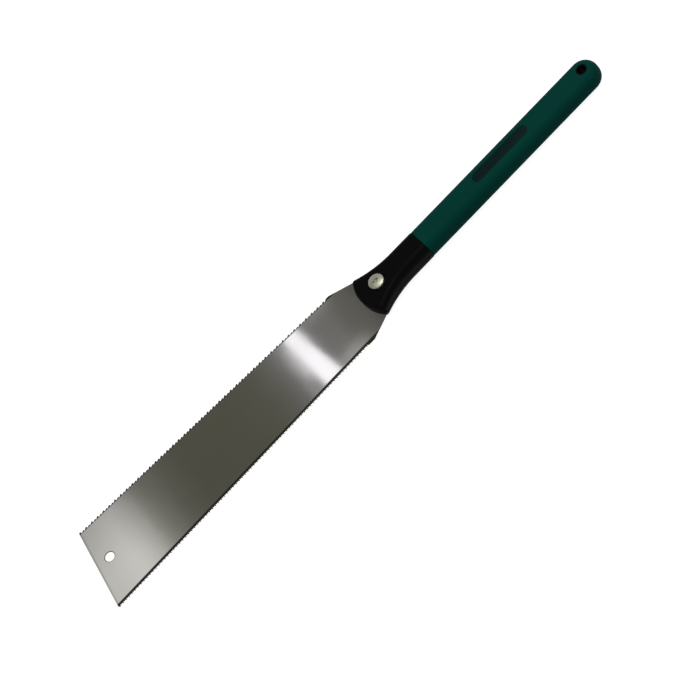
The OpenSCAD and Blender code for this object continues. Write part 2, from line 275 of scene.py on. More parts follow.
def tidy_mesh(mesh):
    """Joins points that coincide, drops slivers and turns all faces outward"""
    work = bmesh.new()
    work.from_mesh(mesh)
    bmesh.ops.remove_doubles(work, verts=work.verts, dist=JOIN_GAP)
    bmesh.ops.dissolve_degenerate(work, edges=work.edges, dist=SLIVER)
    bmesh.ops.recalc_face_normals(work, faces=work.faces)
    work.to_mesh(mesh)
    work.free()


def mesh_object(name, points, faces):
    """A clean mesh object from points in the pieces' own drawing"""
    mesh = bpy.data.meshes.new(name)
    mesh.from_pydata([Vector(p) + DATUM for p in points], [], faces)
    tidy_mesh(mesh)
    made = bpy.data.objects.new(name, mesh)
    bpy.context.scene.collection.objects.link(made)
    return made


def skin(name, rings, cap="flat"):
    """A closed solid over equal rings; its ends are flat faces, ladders across the ring, or joined"""
    size = len(rings[0])
    count = len(rings)
    joined = [(i, i + 1) for i in range(count - 1)] + ([(count - 1, 0)] if cap == "joined" else [])
    faces = [
        (a * size + j, a * size + (j + 1) % size, b * size + (j + 1) % size, b * size + j)
        for a, b in joined
        for j in range(size)
    ]
    for first in (0, (count - 1) * size):
        if cap == "flat":
            faces.append(tuple(range(first, first + size)))
        if cap == "ladder":
            last = first + size - 1
            faces += [(first + j, first + j + 1, last - j - 1, last - j) for j in range(size // 2 - 1)]
    return mesh_object(name, [p for ring in rings for p in ring], faces)


def prism(name, outline, low, high):
    """A flat outline between two heights"""
    return skin(name, [[(x, y, z) for x, y in outline] for z in (low, high)])


def block(name, low, high):
    """A box between two corners"""
    outline = [(low[0], low[1]), (high[0], low[1]), (high[0], high[1]), (low[0], high[1])]
    return prism(name, outline, low[2], high[2])


def full_turn(steps):
    """Angles once round"""
    return [2 * math.pi * k / steps for k in range(steps)]


def half_turn(steps):
    """Angles from a right angle below to a right angle above"""
    return [math.pi * (i / steps - 0.5) for i in range(steps + 1)]


def quarter_turn(steps):
    """Angles from 0 to a right angle"""
    return [math.pi / 2 * i / steps for i in range(steps + 1)]


def circle(radius, steps=ROUND_STEPS, at=(0, 0)):
    """Points of a circle seen from above"""
    return [(at[0] + radius * math.cos(a), at[1] + radius * math.sin(a)) for a in full_turn(steps)]


def turned(profile, steps=ROUND_STEPS, at=(0, 0)):
    """Rings of a turned shape from (radius, height) pairs; a list of radii gives a ring that isn't round"""
    rings = []
    for radius, height in profile:
        radii = radius if isinstance(radius, list) else [radius] * steps
        turns = zip(radii, full_turn(steps))
        rings.append([(at[0] + r * math.cos(a), at[1] + r * math.sin(a), height) for r, a in turns])
    return rings


def thread(radius, depth, pitch, low, high, steps=ROUND_STEPS, end_taper=0.0):
    """(radii, height) pairs of a right-hand thread, thinner by end_taper at its low end"""
    count = max(2, round((high - low) / pitch * THREAD_RINGS))
    profile = []
    for i in range(count + 1):
        height = low + (high - low) * i / count
        slim = end_taper * max(0.0, 1 - (height - low) / pitch)
        phases = [(height / pitch - k / steps) % 1 for k in range(steps)]
        ridges = [min(1.0, max(0.0, FLANK_RISE / 2 - FLANK_RISE * abs(phase - 0.5))) for phase in phases]
        profile.append(([radius - slim - depth * (1 - ridge) for ridge in ridges], height))
    return profile


def cross_cutter(name, arm, width, top, bottom, at=(0, 0)):
    """A tapered cross that cuts a driver's recess from the top height to the bottom height"""
    rings = []
    for height, grow in ((top, 1.0), (bottom, RECESS_TAPER)):
        a = arm / 2 * grow
        w = width / 2 * (0.5 + 0.5 * grow)
        quarter = [(a, -w), (a, w), (w, w)]
        corners = [Matrix.Rotation(math.pi / 2 * q, 2) @ Vector(p) for q in range(4) for p in quarter]
        rings.append([(at[0] + p.x, at[1] + p.y, height) for p in corners])
    return skin(name, rings)


def carve(piece, cutters, operation="DIFFERENCE"):
    """Cuts the cutters out of a piece, or joins them to it, and removes them"""
    for cutter in cutters:
        modifier = piece.modifiers.new("carve", "BOOLEAN")
        modifier.operation = operation
        modifier.solver = "MANIFOLD"
        modifier.object = cutter
    graph = bpy.context.evaluated_depsgraph_get()
    carved = bpy.data.meshes.new_from_object(piece.evaluated_get(graph))
    if not carved.polygons:
        raise RuntimeError(f"{piece.name} vanished when it was carved")
    tidy_mesh(carved)
    piece.modifiers.clear()
    piece.data = carved
    carved.name = piece.name
    for cutter in cutters:
        bpy.data.objects.remove(cutter)
    return piece


def dress(piece, finish, body, node, smooth=SHARP_EDGE):
    """Gives a piece its finish and its place in the frame; edges sharper than the angle stay sharp"""
    piece.data.materials.clear()
    piece.data.materials.append(finish)
    if smooth:
        piece.data.shade_smooth()
        piece.data.set_sharp_from_angle(angle=smooth)
    else:
        piece.data.shade_flat()
    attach(piece, body)
    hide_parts(node)


# Shapes

# Share of a tooth's pitch under its steep face, and of its height by which the filed bevel draws a tip back
RIP_FACE = 0.16
CROSS_FACE = 0.34
FILED_BEVEL = 0.3
# Heights of a head section's side wall, in edge radii
SIDE_STATIONS = (0.0, 0.12, 0.55)
HEX_SIDES = 6
# How far the mouth's cutter starts ahead of the screw, in lengths of the nose
MOUTH_START = 1.1
# How far a cutter overruns the split plane, and a recess's cutter the head of its screw
SPLIT_OVERRUN = MM
RECESS_OVERRUN = 0.2 * MM
# Gap under the head of a screw, under the washer and over the nut, and under the oval plate
FACE_GAP = 0.02 * MM
PLATE_GAP = 0.08 * MM
# Clamp screw: head to thread, in pitches, and how much thinner its tip is
THREAD_START = 1.3
TIP_TAPER = 0.5 * MM
# Core screws: places of the crown's rings in head radii, and its height in head heights
CROWN_RINGS = (0.0, 0.35, 0.6, 0.8, 0.92, 1.0)
CROWN_HEIGHT = 0.35
# Core screws: head to thread, thread's end to tip, length and radius of the tip, and the recess
CORE_THREAD_START = 0.5 * MM
CORE_THREAD_END = 1.2 * MM
CORE_TIP = 1.1 * MM
CORE_TIP_RADIUS = 0.4 * MM
CORE_RECESS_WIDTH = 0.9 * MM
CORE_RECESS_DEPTH = 1.1 * MM


def rounded_corner(before, corner, after, radius, steps=6):
    """Points of a rounded corner on the way from before to after, turning to the right"""
    u = (before - corner).normalized()
    v = (after - corner).normalized()
    half = u.angle(v) / 2
    centre = corner + (u + v).normalized() * radius / math.sin(half)
    start = corner + u * radius / math.tan(half) - centre
    turns = [-(math.pi - 2 * half) * i / steps for i in range(steps + 1)]
    return [centre + Matrix.Rotation(turn, 2) @ start for turn in turns]


def tooth_row(start, end, pitch, depth, land, face, inward):
    """End of the plain land, gullets and tips of a row of teeth; the steep faces look back to the start"""
    count = round((end - start).length / pitch)
    step = (end - start) / count
    plain = round(land / pitch)
    gullets = [start + step * (i - face) + inward * depth for i in range(plain + 1, count + 1)]
    tips = [start + step * i for i in range(plain, count)]
    return tips[0], gullets, tips[1:]


def blade_edges(blade):
    """Heel and toe corners of the ripping and the crosscut edge, before rounding"""
    toe_cross = Vector((-blade.reach, -blade.toe_cross))
    rise = (blade.toe_rip + blade.toe_cross) * math.tan(blade.toe_slant)
    rip = (Vector((-blade.heel, blade.heel_half)), Vector((rise - blade.reach, blade.toe_rip)))
    cross = (Vector((-blade.heel, -blade.heel_half)), toe_cross)
    return rip, cross


def flank_half(head, x):
    """Half width of the head at a place along it"""
    hollow = max(0.0, head.flare_end - x)
    return head.width / 2 + head.flare_radius - math.sqrt(head.flare_radius**2 - hollow**2)


def nose_x(head, y):
    """Place of the nose's arc at a half width"""
    return -head.nose + head.nose_radius - math.sqrt(head.nose_radius**2 - y**2)


def head_section(head, grip, x):
    """Half width, half thickness and edge radius of the head at a place along it"""
    part = (x + head.nose) / (head.reach - grip.seat_gap + head.nose)
    half_t = (head.thickness - (head.thickness - head.nose_t) * (1 - part) ** 2) / 2
    return flank_half(head, x), half_t, head.nose_edge + part * (head.edge - head.nose_edge)


def shoulder(head, rounds=12):
    """Place and half width of the blade's shoulder, just behind the corners of the nose"""
    x = -head.nose
    for _ in range(rounds):
        x = nose_x(head, flank_half(head, x))
    x += head.shoulder_inset
    return x, flank_half(head, x) + head.shoulder_proud


def plate_outline(blade, head, clamp, slot_steps=16):
    """Outline of the blade without its tooth tips, and the tip that stands on each toothed step of it"""
    rip, cross = blade_edges(blade)
    rip_corner = rounded_corner(cross[1], rip[1], rip[0], blade.toe_round)
    cross_corner = rounded_corner(cross[0], cross[1], rip[1], blade.toe_round)
    rip_way = (rip[1] - rip[0]).normalized()
    cross_way = (cross[1] - cross[0]).normalized()
    rip_start, rip_gullets, rip_tips = tooth_row(
        rip[0], rip_corner[-1], blade.rip_pitch, blade.rip_depth, blade.rip_land, RIP_FACE,
        Vector((-rip_way.y, rip_way.x)))
    cross_start, cross_gullets, cross_tips = tooth_row(
        cross[0], cross_corner[0], blade.cross_pitch, blade.cross_depth, blade.cross_land, CROSS_FACE,
        Vector((cross_way.y, -cross_way.x)))
    shoulder_x, shoulder_half = shoulder(head)
    slot = clamp.screw_d / 2 + head.tang_gap
    turns = [math.pi * (0.5 + k / slot_steps) for k in range(slot_steps + 1)]
    tang = [(blade.tang_len, blade.tang_half), (blade.tang_len, slot)]
    tang += [(slot * math.cos(a), slot * math.sin(a)) for a in turns]
    tang += [(blade.tang_len, -slot), (blade.tang_len, -blade.tang_half)]
    neck = [(shoulder_x, shoulder_half), (shoulder_x, blade.tang_half)]
    outline = [cross[0], cross_start] + cross_gullets + cross_corner
    first_rip = len(outline) + len(rip_corner)
    outline += rip_corner + rip_gullets[::-1] + [rip_start, rip[0]]
    outline += [Vector(p) for p in neck + tang]
    outline += [Vector((x, -y)) for x, y in neck[::-1]]
    tips = {2 + i: (tip, i) for i, tip in enumerate(cross_tips)}
    tips.update({first_rip + i: (tip, i) for i, tip in enumerate(rip_tips[::-1])})
    return outline, tips


def build_blade(saw):
    """The plate with its hanging hole, and teeth set to alternate sides with a filed bevel inside"""
    blade = saw.blade
    outline, tips = plate_outline(blade, saw.head, saw.clamp)
    hole_at = (blade.hole_x - blade.reach, blade.hole_y)
    wide = circle(blade.hole_d / 2 + blade.hole_chamfer, SMALL_STEPS, hole_at)
    narrow = circle(blade.hole_d / 2, SMALL_STEPS, hole_at)
    half = blade.thickness / 2
    size = len(outline)
    points, faces = [], []
    for side in (1, -1):
        first = len(points)
        points += [(p[0], p[1], side * half) for p in outline + wide]
        flat = [Vector((p[0], p[1], 0)) for p in outline]
        ring = [Vector((x, y, 0)) for x, y in wide]
        faces += [tuple(first + i for i in corner) for corner in tessellate_polygon([flat, ring])]
        points += [(x, y, side * blade.hole_land / 2) for x, y in narrow]
    below = len(points) // 2
    for j in range(len(wide)):
        a, b = size + j, size + (j + 1) % len(wide)
        c, d = a + len(wide), b + len(wide)
        faces += [(a, b, d, c), (below + a, below + b, below + d, below + c), (c, d, below + d, below + c)]
    for i in range(size):
        j = (i + 1) % size
        if i not in tips:
            faces.append((i, j, below + j, below + i))
            continue
        tip, number = tips[i]
        lean = 1 if number % 2 else -1
        back = tip.lerp((outline[i] + outline[j]) / 2, FILED_BEVEL)
        for side in (1, -1):
            at = tip if side == lean else back
            points.append((at.x, at.y, side * half + lean * blade.tooth_set))
        up, down = len(points) - 2, len(points) - 1
        faces += [(i, j, up), (below + i, below + j, down)]
        faces += [(i, up, down, below + i), (j, up, down, below + j)]
    return mesh_object("ground_blade", points, faces)


def section_stations(edge_steps=12, face_steps=10):
    """Stations round half a rounded section: factors of half width, half thickness and edge radius"""
    side = [(1, 0, f, -f) for f in SIDE_STATIONS]
    corner = [(1, math.cos(a) - 1, 1, math.sin(a) - 1) for a in quarter_turn(edge_steps)]
    flat = [(1 - i / face_steps, i / face_steps - 1, 1, 0) for i in range(1, 2 * face_steps)]
    mirrored = [(-w, -r, t, s) for w, r, t, s in (side + corner)[::-1]]
    return side + corner + flat + mirrored


def head_ring(head, grip, side, inset, place, rounds=14):
    """One ring of half the head, over its face and back on the split plane; place gives x at a half width"""
    upper, lower = [], []
    for w, r, t, s in section_stations():
        x = 0.0
        for _ in range(rounds):
            half_w, half_t, edge = (size - inset for size in head_section(head, grip, x))
            y = w * half_w + r * edge
            x = place(y)
        z = t * half_t + s * edge
        reach = half_w - head.seam
        upper.append((x, max(-reach, min(reach, y)) if z < head.seam / 2 else y, side * z))
        lower.append((x, max(-reach, min(reach, y)), 0.0))
    return upper + lower[::-1]


def build_head_half(head, grip, side, rim_rings=5, more_rings=32):
    """Half the head: a rounded rim at the nose, hollow flanks, and a flat rear that meets the grip"""
    rings = []
    for turn in quarter_turn(rim_rings):
        back = head.nose_round * (1 - math.cos(turn))
        inset = head.nose_round * (1 - math.sin(turn))
        rings.append(head_ring(head, grip, side, inset, lambda y: nose_x(head, y) + back))
    for i in range(1, more_rings + 1):
        f = i / more_rings
        rings.append(head_ring(head, grip, side, 0.0, lambda y: (
            (nose_x(head, y) + head.nose_round) * (1 - f) + (head.reach - grip.seat_gap) * f)))
    return skin("head_half", rings, cap="ladder")


def bar_profile(half_w, half_t, edge, low, steps=16):
    """(half width, height) pairs of a rounded bar from its top face down to a height"""
    arc = quarter_turn(steps)
    over = [(half_w - edge + edge * math.sin(a), half_t - edge + edge * math.cos(a)) for a in arc]
    if low == 0:
        return over + [(half_w, 0.0)]
    return over + [(w, -z) for w, z in over[::-1]]


def bar(name, profile, front, round_x, front_steps=24, end_steps=32):
    """A bar of that profile with a half-round end; front gives the x of its front face at y and z"""
    rings = []
    for half, z in profile:
        across = [half * math.sin(a) for a in half_turn(front_steps)]
        ring = [(front(y, z), y, z) for y in across]
        ends = half_turn(end_steps)
        rings.append(ring + [(round_x + half * math.cos(a), -half * math.sin(a), z) for a in ends])
    return skin(name, rings)


def handle_places(grip):
    """Places along the handle of the hanging hole and of the middle of the round end"""
    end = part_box("grip_sleeve")[1].x - DATUM.x
    return end - grip.hole_from_end, end - grip.width / 2


def build_core_half(head, grip, side):
    """Half the head with half the core that the grip slides over, and half of the hanging hole's tube"""
    hole_x, round_x = handle_places(grip)
    inset = grip.wall + grip.seat_gap
    piece = build_head_half(head, grip, side)
    profile = bar_profile(grip.width / 2 - inset, grip.thickness / 2 - inset, grip.edge - inset, 0)
    core = bar("core", [(w, side * z) for w, z in profile], lambda y, z: head.flare_end, round_x)
    outline = circle(grip.hole_d / 2 + grip.hole_wall, at=(hole_x, 0))
    tube = prism("tube", outline, 0, side * grip.thickness / 2)
    carve(piece, [core], "UNION")
    carve(piece, [tube], "UNION")
    return piece


def core_cutters(saw):
    """What both core halves lose: tang pocket, hanging hole, hollows and the clamp screw's bore"""
    blade, head, grip = saw.blade, saw.head, saw.grip
    hole_x, _ = handle_places(grip)
    inset = grip.wall + grip.seat_gap + head.core_wall
    half_w, half_t = grip.width / 2 - inset, grip.thickness / 2 - inset
    depth = blade.thickness / 2 + head.slot_gap
    shoulder_x, _ = shoulder(head)
    tang = blade.tang_half + head.tang_gap
    far, wide = MOUTH_START * head.nose, blade.heel_half
    deep = grip.thickness
    cutters = [
        block("mouth", (-far, -wide, -depth), (shoulder_x + head.tang_gap, wide, depth)),
        block("pocket", (shoulder_x, -tang, -depth), (blade.tang_len + head.tang_gap, tang, depth)),
        prism("hole", circle(grip.hole_d / 2, at=(hole_x, 0)), -deep, deep),
    ]
    screws = [node_x(node) for node in CORE_SCREWS]
    for near, next_one in zip(screws, screws[1:]):
        low, high = near + head.web / 2, next_one - head.web / 2
        cutters.append(block("hollow", (low, -half_w, -half_t), (high, half_w, half_t)))
    cutters.append(prism("bore", circle(saw.clamp.screw_d / 2 + head.tang_gap), -deep, deep))
    return cutters


def build_shell(saw, name, side, own_cutters):
    """Half the head and core, less what both halves lose and what only this one loses"""
    piece = build_core_half(saw.head, saw.grip, side)
    carve(piece, core_cutters(saw) + own_cutters)
    piece.name = name
    return piece


def build_front_shell(saw):
    """Front half: the washer's seat, and pilot holes for the core screws"""
    grip, clamp = saw.grip, saw.clamp
    seat = half_span("clamp_washer") + saw.head.tang_gap + grip.seat_gap
    seat_z = heights("clamp_washer")[0] - FACE_GAP
    cutters = [prism("seat", circle(seat, WASHER_STEPS), seat_z, grip.thickness)]
    for node in CORE_SCREWS:
        pilot = circle(clamp.core_d / 2 + clamp.nut_gap, BORE_STEPS, (node_x(node), 0))
        cutters.append(prism("pilot", pilot, -SPLIT_OVERRUN, heights(node)[1] + grip.seat_gap))
    return build_shell(saw, "front_shell", 1, cutters)


def build_back_shell(saw):
    """Back half: the nut's hexagon pocket, and sunk holes for the core screws"""
    grip, clamp = saw.grip, saw.clamp
    across = half_span("clamp_nut", 1) + grip.seat_gap
    hexagon = circle(across / math.cos(math.pi / HEX_SIDES), HEX_SIDES)
    cutters = [prism("nut_pocket", hexagon, -grip.thickness, heights("clamp_nut")[1] + FACE_GAP)]
    for node in CORE_SCREWS:
        at = (node_x(node), 0)
        seat = heights(node)[0] + clamp.core_head_h + FACE_GAP
        way = circle(clamp.core_d / 2 + grip.seat_gap, BORE_STEPS, at)
        sink = circle(half_span(node) + grip.seat_gap, BORE_STEPS, at)
        cutters.append(prism("way", way, -grip.thickness, SPLIT_OVERRUN))
        cutters.append(prism("sink", sink, -grip.thickness, seat))
    return build_shell(saw, "back_shell", -1, cutters)


def oval(length_x, width, at_x, steps=24):
    """A long oval seen from above"""
    r = width / 2
    reach = length_x / 2 - r
    right = [(at_x + reach + r * math.cos(a), r * math.sin(a)) for a in half_turn(steps)]
    return right + [(2 * at_x - x, -y) for x, y in right]


def lip_offset(depth, lip):
    """How far a rounded edge draws a face back at a depth below the outer surface"""
    left = min(lip, max(0.0, lip - depth))
    return lip - math.sqrt(lip**2 - left**2)


def build_grip(saw, lip_steps=6):
    """The soft sleeve: a rounded bar with a round end and a rounded front edge, hollow for the core"""
    head, grip = saw.head, saw.grip
    hole_x, round_x = handle_places(grip)
    half_w, half_t, edge = grip.width / 2, grip.thickness / 2, grip.edge

    def front(y, z):
        over = (max(0.0, abs(y) - half_w + edge), max(0.0, abs(z) - half_t + edge))
        depth = edge - math.hypot(*over) if max(over) > 0 else edge
        return head.reach + lip_offset(depth, grip.lip)

    piece = bar("soft_grip", bar_profile(half_w, half_t, edge, -1), front, round_x)
    gap = grip.seat_gap
    inner = bar_profile(half_w - grip.wall, half_t - grip.wall, edge - grip.wall, -1)
    hollow = bar("hollow", inner, lambda y, z: head.flare_end, round_x)
    size = span("grip_inlay") * MM
    outline = oval(size.x + 2 * gap, size.y + 2 * gap, node_x("grip_inlay"))
    recess = prism("recess", outline, heights("grip_inlay")[0] - PLATE_GAP, grip.thickness)
    r = grip.hole_d / 2 + grip.hole_wall + gap
    turns = quarter_turn(lip_steps)
    rim = [(r + grip.lip * (1 - math.cos(a)), half_t - grip.lip * (1 - math.sin(a))) for a in turns]
    rim.append((r + grip.lip, grip.thickness))
    through = skin("through", turned([(w, -z) for w, z in rim[::-1]] + rim, at=(hole_x, 0)))
    return carve(piece, [hollow, recess, through])


def build_oval_plate(saw, edge_steps=4):
    """The blank oval plate, its rim rounded"""
    low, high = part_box("grip_inlay")
    size = high - low
    edge = saw.grip.plate_edge
    turns = quarter_turn(edge_steps)
    insets = [(0.0, low.z)]
    insets += [(edge * (1 - math.cos(a)), high.z - edge * (1 - math.sin(a))) for a in turns]
    rings = []
    for inset, height in insets:
        outline = oval(size.x - 2 * inset, size.y - 2 * inset, node_x("grip_inlay"))
        rings.append([(x, y, height - DATUM.z) for x, y in outline])
    return skin("oval_plate", rings)


def build_clamp_screw(saw, dome_steps=14):
    """A low domed screw with a cross recess and a rolled thread"""
    clamp = saw.clamp
    c = clamp.chamfer
    low = heights("clamp_screw")[0]
    under = heights("clamp_washer")[1] + FACE_GAP
    high = under + clamp.head_h
    r = half_span("clamp_screw")
    dome_h = clamp.head_h - clamp.rim_h
    dome_r = (r**2 + dome_h**2) / (2 * dome_h)
    reach = math.asin((r - c) / dome_r)
    leans = [reach * i / dome_steps for i in range(dome_steps + 1)]
    dome = [(dome_r * math.sin(a), high - dome_r * (1 - math.cos(a))) for a in leans]
    profile = dome + [(r, dome[-1][1] - c), (r, under + c / 2), (r - c / 2, under)]
    shank = clamp.screw_d / 2
    profile += [(shank, under), (shank, under - clamp.pitch)]
    top = under - THREAD_START * clamp.pitch
    profile += thread(shank, clamp.thread_depth, clamp.pitch, low, top, end_taper=TIP_TAPER)[::-1]
    piece = skin("domed_screw", turned(profile))
    bottom = high - clamp.recess_depth
    recess = cross_cutter("recess", clamp.recess_len, clamp.recess_w, high + RECESS_OVERRUN, bottom)
    return carve(piece, [recess])


def build_washer(saw):
    """A flat washer with chamfered edges"""
    low, high = heights("clamp_washer")
    outer = half_span("clamp_washer")
    inner = saw.clamp.screw_d / 2 + saw.clamp.washer_gap
    c = saw.clamp.chamfer
    profile = [(inner, high - c), (inner + c, high), (outer - c, high), (outer, high - c)]
    profile += [(outer, low + c), (outer - c, low), (inner + c, low), (inner, low + c)]
    return skin("spread_washer", turned(profile, WASHER_STEPS), cap="joined")


def build_nut(saw, steps=72):
    """A hexagon nut, its corners chamfered on both faces and its bore threaded"""
    clamp = saw.clamp
    depth = clamp.thread_depth
    low, high = heights("clamp_nut")
    flat = half_span("clamp_nut", 1)
    sixth = 2 * math.pi / HEX_SIDES
    turns = full_turn(steps)
    hexagon = [flat / math.cos((a + sixth / 2) % sixth - sixth / 2) for a in [t + sixth / 2 for t in turns]]
    lead = clamp.screw_d / 2 + clamp.nut_gap + depth
    face = flat - clamp.chamfer
    drops = [(r - face) * math.tan(math.pi / 6) for r in hexagon]
    rings = turned([(lead, high), (face, high)], steps)
    for sign, base in ((-1, high), (1, low)):
        corners = zip(hexagon, turns, drops)
        rings.append([(r * math.cos(a), r * math.sin(a), base + sign * d) for r, a, d in corners])
    rings += turned([(face, low), (lead, low)], steps)
    inside = thread(lead, depth, clamp.pitch, low + depth, high - depth, steps)
    return skin("hex_nut", rings + turned(inside, steps), cap="joined")


def build_core_screw(saw, number, node):
    """A pan-head self-tapping screw, put in from the back"""
    clamp = saw.clamp
    low, high = heights(node)
    at = (node_x(node), middle(node).y - DATUM.y)
    r = half_span(node)
    shank = clamp.core_d / 2
    root = shank - clamp.core_thread
    under = low + clamp.core_head_h
    profile = [(r * f, low + CROWN_HEIGHT * clamp.core_head_h * f**4) for f in CROWN_RINGS]
    profile += [(r, under), (root, under)]
    profile += thread(
        shank, clamp.core_thread, clamp.core_pitch,
        under + CORE_THREAD_START, high - CORE_THREAD_END, SMALL_STEPS)
    profile += [(root, high - CORE_TIP), (CORE_TIP_RADIUS, high), (0.0, high)]
    piece = skin(f"tapping_screw_{number}", turned(profile, SMALL_STEPS, at))
    recess = cross_cutter(
        "recess", clamp.core_recess, CORE_RECESS_WIDTH, low - RECESS_OVERRUN, low + CORE_RECESS_DEPTH, at)
    return carve(piece, [recess])


# Finishes

# Dark edges of the blade: widths in tooth depths, and how softly they end
RIP_DARK = 1.2
RIP_SOFT = 0.5 * MM
CROSS_DARK = 2.2
CROSS_SOFT = 0.4 * MM
TEETH_ROUGHNESS = 0.38
# Darker line along the toe: its width, and the share of the steel's colour that it keeps
TOE_LINE = 1.2 * MM
TOE_DARKENING = 0.62
# Upright share of the normal below which a face counts as a wall; walls are painted dark as shade
WALL_LIMIT = 0.95
# Wave of the plate: waves in a metre, and height
WAVE_SCALE = 32.0
WAVE_HEIGHT = 0.035 * MM
# Heights of the blade's lines, of the moulded grain and of the plating's lines
LINE_HEIGHT = 0.01 * MM
GRAIN_HEIGHT = 0.05 * MM
PLATING_HEIGHT = 0.02 * MM


def add_node(tree, kind, inputs=None, **settings):
    """A node with its settings, and its inputs linked or set"""
    made = tree.nodes.new(kind)
    for name, value in settings.items():
        setattr(made, name, value)
    for key, value in (inputs or {}).items():
        if isinstance(value, bpy.types.NodeSocket):
            tree.links.new(value, made.inputs[key])
        else:
            made.inputs[key].default_value = value
    return made


def object_place(tree):
    """Place on a piece, in metres"""
    return add_node(tree, "ShaderNodeTexCoord").outputs["Object"]


def maths(tree, operation, *numbers):
    """Result of a sum with one or two numbers"""
    return add_node(tree, "ShaderNodeMath", dict(enumerate(numbers)), operation=operation).outputs[0]


def vector_maths(tree, operation, first, second):
    """Result of a sum with two vectors"""
    made = add_node(tree, "ShaderNodeVectorMath", {0: first, 1: second}, operation=operation)
    return made.outputs["Value" if operation == "DOT_PRODUCT" else "Vector"]


def blend(tree, factor, first, second):
    """A number between two others"""
    return add_node(tree, "ShaderNodeMix", {0: factor, 2: first, 3: second}).outputs[0]


def mapped(tree, value, start, end, low=0.0, high=1.0, curve="SMOOTHSTEP"):
    """A value that goes from low at the start to high at the end"""
    made = add_node(
        tree, "ShaderNodeMapRange",
        {"Value": value, "From Min": start, "From Max": end, "To Min": low, "To Max": high},
        interpolation_type=curve)
    return made.outputs["Result"]


def shader_group(name, inputs, output, draw):
    """The shader group of that name; draw makes its one output when it is first asked for"""
    if name in bpy.data.node_groups:
        return bpy.data.node_groups[name]
    tree = bpy.data.node_groups.new(name, "ShaderNodeTree")
    for socket, default in inputs.items():
        made = tree.interface.new_socket(name=socket, in_out="INPUT", socket_type="NodeSocketFloat")
        made.default_value = default
    tree.interface.new_socket(name=output, in_out="OUTPUT", socket_type="NodeSocketFloat")
    given = add_node(tree, "NodeGroupInput")
    add_node(tree, "NodeGroupOutput", {output: draw(tree, object_place(tree), given.outputs)})
    return tree


def moulded_grain():
    """Fine pebbled grain of a moulded surface"""

    def draw(tree, place, given):
        spread = {"Vector": place, "Scale": given["Scale"]}
        pebbles = add_node(tree, "ShaderNodeTexVoronoi", spread, feature="SMOOTH_F1")
        noise = add_node(tree, "ShaderNodeTexNoise", {**spread, "Detail": 3.0})
        return blend(tree, given["Soften"], pebbles.outputs["Distance"], noise.outputs["Fac"])

    return shader_group("Moulded grain", {"Scale": 3000.0, "Soften": 0.5}, "Height", draw)


def handling_marks():
    """Broad soft patches left by hands and wiping, from a low to a high value"""

    def draw(tree, place, given):
        patches = add_node(
            tree, "ShaderNodeTexNoise",
            {"Vector": place, "Scale": given["Scale"], "Detail": 4.0, "Roughness": 0.6, "Distortion": 0.4})
        return mapped(tree, patches.outputs["Fac"], 0.3, 0.7, given["Low"], given["High"], "LINEAR")

    return shader_group("Handling marks", {"Scale": 40.0, "Low": 0.4, "High": 0.6}, "Value", draw)


def drawn_lines():
    """Fine parallel lines of ground or drawn metal along X"""

    def draw(tree, place, given):
        across = given["Across"]
        stretch = add_node(tree, "ShaderNodeCombineXYZ", {"X": given["Along"], "Y": across, "Z": across})
        stretched = vector_maths(tree, "MULTIPLY", place, stretch.outputs[0])
        lines = add_node(tree, "ShaderNodeTexNoise", {"Vector": stretched, "Scale": 1.0, "Detail": 4.0})
        return lines.outputs["Fac"]

    return shader_group("Drawn lines", {"Along": 15.0, "Across": 4000.0}, "Height", draw)


def use_group(tree, used, **values):
    """Output of a group placed in a material with its own values"""
    return add_node(tree, "ShaderNodeGroup", values, node_tree=used).outputs[0]


def start_finish(name, base, **values):
    """A material with a Principled shader set to plain values; returns it, its tree and the shader"""
    finish = bpy.data.materials.new(name)
    finish.use_nodes = True
    tree = finish.node_tree
    shader = tree.nodes["Principled BSDF"]
    shader.inputs["Base Color"].default_value = (*base, 1.0)
    for socket, value in values.items():
        shader.inputs[socket.replace("_", " ")].default_value = value
    finish.diffuse_color = (*base, 1.0)
    return finish, tree, shader


def connect(tree, shader, colour_socket, roughness, normal):
    """Links the colour, roughness and normal of a shader"""
    for name, socket in (("Base Color", colour_socket), ("Roughness", roughness), ("Normal", normal)):
        tree.links.new(socket, shader.inputs[name])


def shaded(tree, base, factor):
    """A colour made lighter or darker by a factor that changes over the surface"""
    return vector_maths(tree, "MULTIPLY", base, factor)


def bump(tree, height, strength, distance, normal=None):
    """A normal from a height, on top of another bump's normal if there is one"""
    given = {"Height": height, "Strength": strength, "Distance": distance}
    if normal:
        given["Normal"] = normal
    return add_node(tree, "ShaderNodeBump", given).outputs["Normal"]


def edge_mask(tree, start, end, inside, width, soft):
    """1 on the edge from start to end and 0 further in than the width"""
    way = (end - start).normalized()
    inward = Vector((-way.y, way.x)) * (1 if inside.dot(Vector((-way.y, way.x))) > 0 else -1)
    origin = Vector((start.x, start.y, 0.0)) + DATUM
    away = vector_maths(tree, "SUBTRACT", object_place(tree), origin)
    depth = vector_maths(tree, "DOT_PRODUCT", away, (inward.x, inward.y, 0.0))
    return mapped(tree, depth, width - soft, width + soft, 1.0, 0.0)


def painted_wall_shade(tree):
    """1 on the cut walls and hole chamfers of the plate, painted dark as shade, and 0 on its two faces"""
    normal = add_node(tree, "ShaderNodeTexCoord").outputs["Normal"]
    upright = add_node(tree, "ShaderNodeSeparateXYZ", {0: normal}).outputs["Z"]
    return maths(tree, "LESS_THAN", maths(tree, "ABSOLUTE", upright), WALL_LIMIT)


def plate_wave(tree):
    """The slow wave that rolling leaves in a thin plate"""
    given = {"Vector": object_place(tree), "Scale": WAVE_SCALE, "Detail": 2.0}
    wave = add_node(tree, "ShaderNodeTexNoise", given)
    return bump(tree, wave.outputs["Fac"], 1.0, WAVE_HEIGHT)


